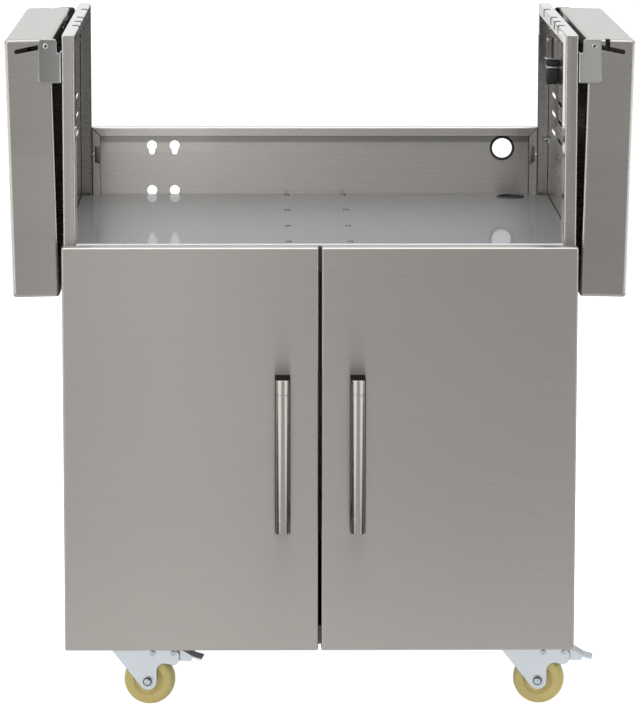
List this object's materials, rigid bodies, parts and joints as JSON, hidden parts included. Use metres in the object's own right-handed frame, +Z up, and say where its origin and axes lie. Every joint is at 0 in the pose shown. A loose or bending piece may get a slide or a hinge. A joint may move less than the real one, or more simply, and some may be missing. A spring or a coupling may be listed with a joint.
{
  "type": "grill cart",
  "caption": "Stainless steel rolling cart for a drop-in grill: open bay between side panels over a double-door cabinet, with folding side shelves and swivel casters.",
  "frame": {"origin": "on the floor, under the middle of the cart's overall width and depth", "axes": "+Z up, +X to the right seen from the doors, +Y from the doors to the back"},
  "size_m": [0.8918, 0.648, 0.987],
  "materials": {
    "panel_steel": "brushed stainless sheet",
    "deck_steel": "bright rolled stainless sheet",
    "door_steel": "brushed stainless sheet",
    "shelf_steel": "brushed stainless sheet",
    "bracket_steel": "plain stainless plate",
    "handle_steel": "satin stainless tube",
    "fastener_steel": "bright steel",
    "caster_zinc": "bright zinc plate",
    "wheel_amber": "moulded polyurethane",
    "black_rubber": "matte rubber",
    "black_plastic": "moulded plastic"
  },
  "bodies": {
    "cart": {"right_side_panel": "panel_steel", "left_side_panel": "panel_steel", "upper_back_panel": "panel_steel", "lower_back_panel": "panel_steel", "base_pan": "panel_steel", "deck_stiffener": "panel_steel", "connector_bracket": "panel_steel", "grill_deck": "deck_steel", "deck_rivets": "deck_steel", "right_front_shelf_bracket": "bracket_steel", "right_rear_shelf_bracket": "bracket_steel", "left_front_shelf_bracket": "bracket_steel", "left_rear_shelf_bracket": "bracket_steel", "door_hinge_arms": "bracket_steel", "back_panel_screws": "fastener_steel", "shelf_bracket_screws": "fastener_steel", "shelf_pivot_pins": "fastener_steel", "door_hinge_pins": "fastener_steel", "caster_bolts": "fastener_steel", "front_left_caster_plate": "caster_zinc", "front_right_caster_plate": "caster_zinc", "rear_left_caster_plate": "caster_zinc", "rear_right_caster_plate": "caster_zinc", "back_hose_grommet": "black_rubber", "deck_hose_grommet": "black_rubber", "shelf_bumpers": "black_rubber", "connector_block": "black_plastic", "door_catches": "black_plastic"},
    "left_door": {"left_door_skin": "door_steel", "left_door_liner": "door_steel", "left_door_strike": "fastener_steel", "left_handle_grip": "handle_steel", "left_handle_posts": "handle_steel", "left_handle_screws": "fastener_steel"},
    "left_shelf": {"left_shelf_pan": "shelf_steel", "left_shelf_stiffener": "panel_steel"},
    "right_door": {"right_door_skin": "door_steel", "right_door_liner": "door_steel", "right_door_strike": "fastener_steel", "right_handle_grip": "handle_steel", "right_handle_posts": "handle_steel", "right_handle_screws": "fastener_steel"},
    "right_shelf": {"right_shelf_pan": "shelf_steel", "right_shelf_stiffener": "panel_steel"},
    "front_left_caster": {"front_left_caster_fork": "caster_zinc", "front_left_caster_pins": "caster_zinc"},
    "front_left_wheel": {"front_left_wheel": "wheel_amber"},
    "front_right_caster": {"front_right_caster_fork": "caster_zinc", "front_right_caster_pins": "caster_zinc"},
    "front_right_wheel": {"front_right_wheel": "wheel_amber"},
    "rear_left_caster": {"rear_left_caster_fork": "caster_zinc", "rear_left_caster_pins": "caster_zinc"},
    "rear_left_wheel": {"rear_left_wheel": "wheel_amber"},
    "rear_right_caster": {"rear_right_caster_fork": "caster_zinc", "rear_right_caster_pins": "caster_zinc"},
    "rear_right_wheel": {"rear_right_wheel": "wheel_amber"},
    "front_left_brake": {"front_left_brake_pedal": "caster_zinc"},
    "front_right_brake": {"front_right_brake_pedal": "caster_zinc"}
  },
  "joints": [
    {"name": "left_door_swing", "type": "hinge", "parent": "cart", "child": "left_door", "pos_m": [-0.3595, -0.265, 0.39475], "axis": [0, 0, -1], "range_deg": [0, 110]},
    {"name": "right_door_swing", "type": "hinge", "parent": "cart", "child": "right_door", "pos_m": [0.3595, -0.265, 0.39475], "axis": [0, 0, 1], "range_deg": [0, 110]},
    {"name": "left_shelf_fold", "type": "hinge", "parent": "cart", "child": "left_shelf", "pos_m": [-0.3875, 0.0375, 0.971], "axis": [0, 1, 0], "range_deg": [0, 91.35]},
    {"name": "right_shelf_fold", "type": "hinge", "parent": "cart", "child": "right_shelf", "pos_m": [0.3875, 0.0375, 0.971], "axis": [0, -1, 0], "range_deg": [0, 91.35]},
    {"name": "front_left_swivel", "type": "hinge", "parent": "cart", "child": "front_left_caster", "pos_m": [-0.285, -0.1705, 0.097], "axis": [0, 0, 1], "continuous": true},
    {"name": "front_left_wheel_spin", "type": "hinge", "parent": "front_left_caster", "child": "front_left_wheel", "pos_m": [-0.24733, -0.17546, 0.0375], "axis": [0.1305, 0.9914, 0], "continuous": true},
    {"name": "front_left_brake_press", "type": "hinge", "parent": "front_left_caster", "child": "front_left_brake", "pos_m": [-0.20935, -0.18046, 0.0803], "axis": [0.1305, 0.9914, 0], "range_deg": [0, 13]},
    {"name": "front_right_swivel", "type": "hinge", "parent": "cart", "child": "front_right_caster", "pos_m": [0.285, -0.1705, 0.097], "axis": [0, 0, 1], "continuous": true},
    {"name": "front_right_wheel_spin", "type": "hinge", "parent": "front_right_caster", "child": "front_right_wheel", "pos_m": [0.32267, -0.17546, 0.0375], "axis": [0.1305, 0.9914, 0], "continuous": true},
    {"name": "front_right_brake_press", "type": "hinge", "parent": "front_right_caster", "child": "front_right_brake", "pos_m": [0.36065, -0.18046, 0.0803], "axis": [0.1305, 0.9914, 0], "range_deg": [0, 13]},
    {"name": "rear_left_swivel", "type": "hinge", "parent": "cart", "child": "rear_left_caster", "pos_m": [-0.285, 0.2455, 0.097], "axis": [0, 0, 1], "continuous": true},
    {"name": "rear_left_wheel_spin", "type": "hinge", "parent": "rear_left_caster", "child": "rear_left_wheel", "pos_m": [-0.24714, 0.24219, 0.0375], "axis": [0.0872, 0.9962, 0], "continuous": true},
    {"name": "rear_right_swivel", "type": "hinge", "parent": "cart", "child": "rear_right_caster", "pos_m": [0.285, 0.2455, 0.097], "axis": [0, 0, 1], "continuous": true},
    {"name": "rear_right_wheel_spin", "type": "hinge", "parent": "rear_right_caster", "child": "rear_right_wheel", "pos_m": [0.32242, 0.2389, 0.0375], "axis": [0.1736, 0.9848, 0], "continuous": true}
  ]
}
